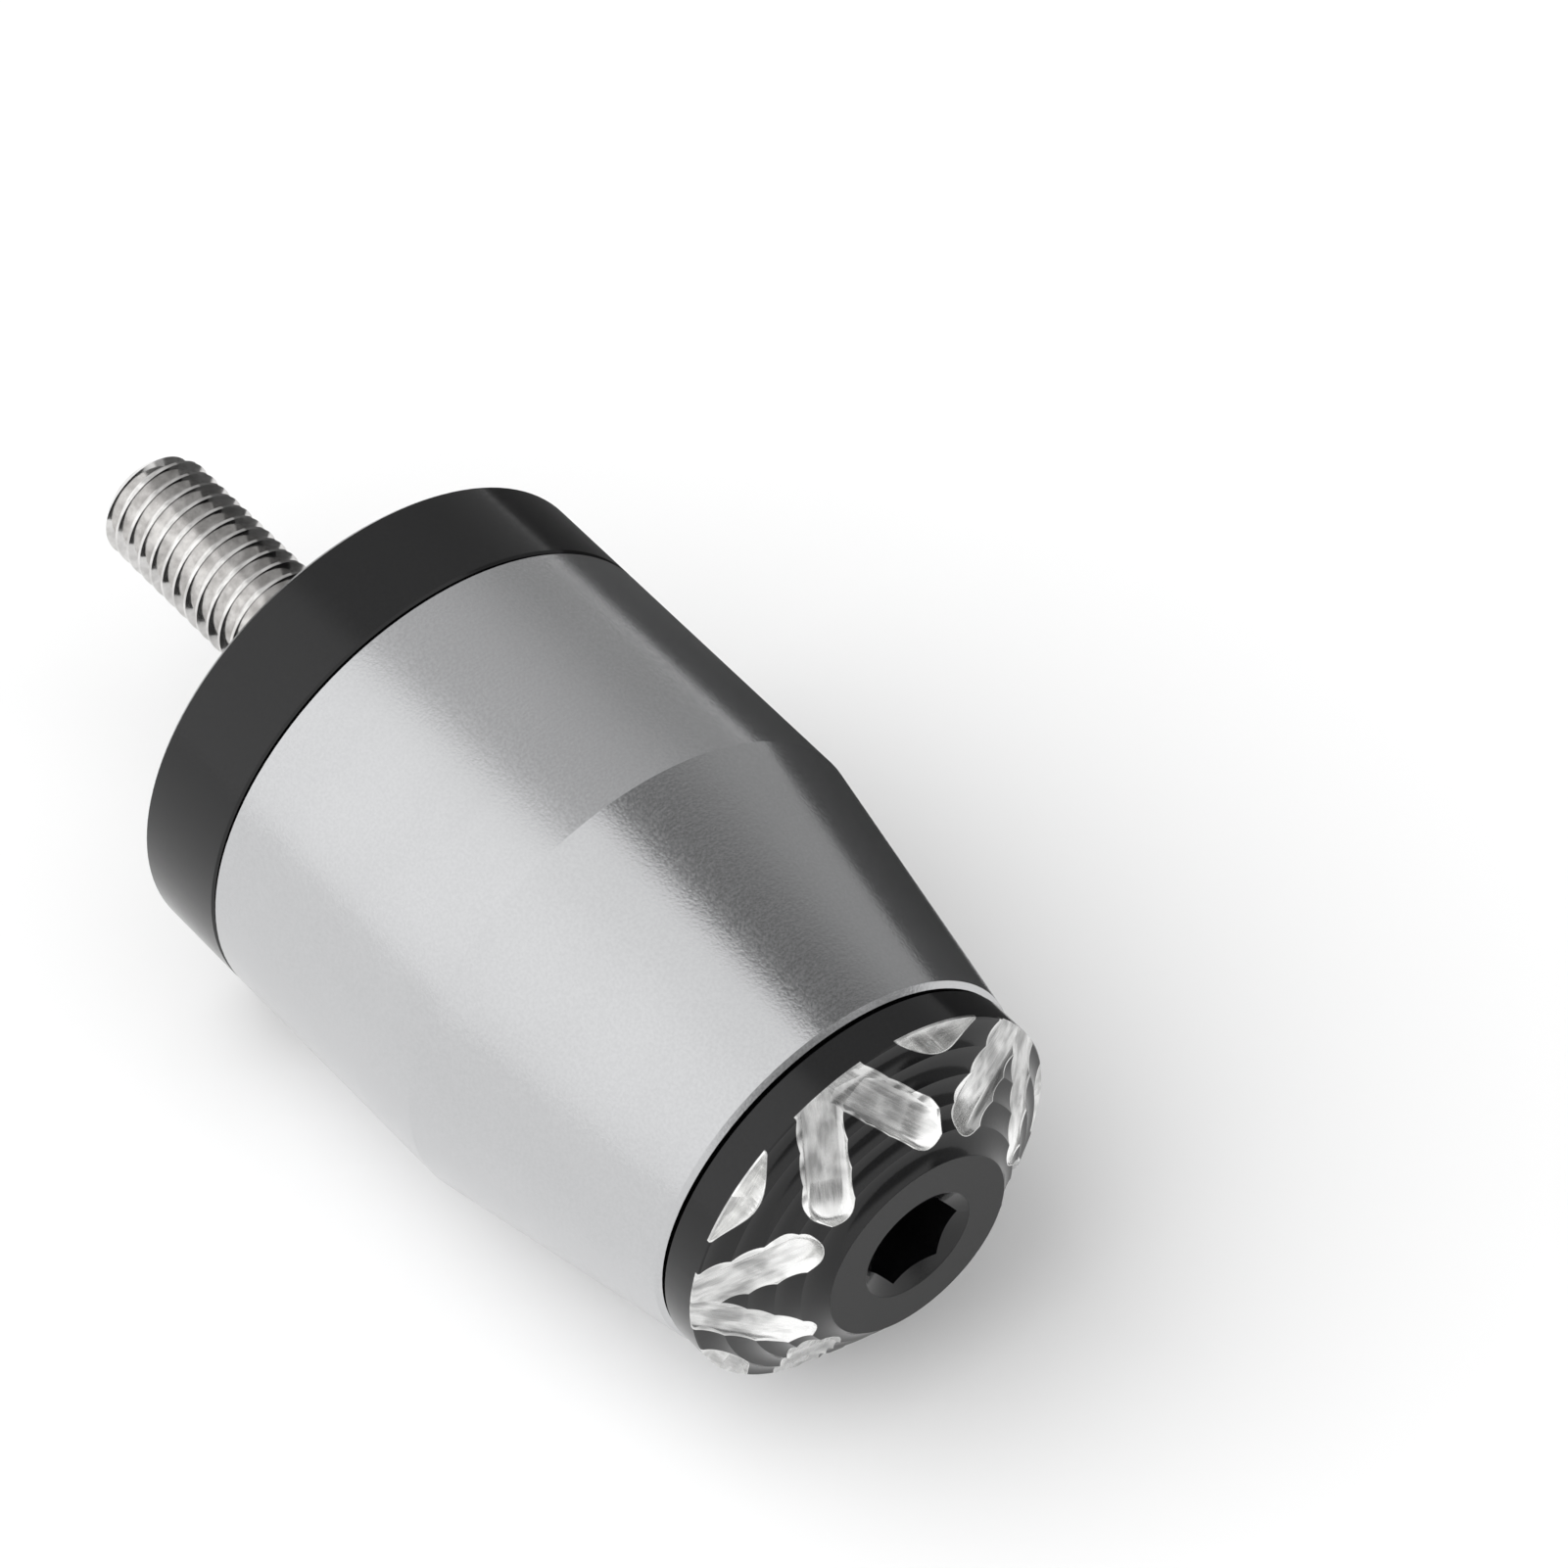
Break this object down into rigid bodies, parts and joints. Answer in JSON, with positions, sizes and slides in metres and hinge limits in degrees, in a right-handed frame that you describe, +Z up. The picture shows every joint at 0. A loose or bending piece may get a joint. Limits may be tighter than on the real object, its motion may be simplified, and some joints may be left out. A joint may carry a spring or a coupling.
{
  "type": "handlebar end cap",
  "caption": "Tapered round bar end with a flat collar, grooved milled nose with a hexagon socket, and a long threaded stud behind.",
  "frame": {"origin": "centre of the flat back face of the collar, which seats against the end of the handlebar", "axes": "+X along the axis towards the nose of the cap, +Z up, the part lying on its side"},
  "size_m": [0.0795, 0.036, 0.036],
  "materials": {
    "collar_black": "black anodised, satin",
    "sleeve_grey": "titanium grey anodised, fine satin",
    "cap_black": "black anodised, with bright milled pockets",
    "stud_steel": "plain rolled thread"
  },
  "bodies": {
    "root": {"base_collar": "collar_black", "sleeve": "sleeve_grey", "end_cap": "cap_black", "threaded_stud": "stud_steel"}
  },
  "joints": []
}
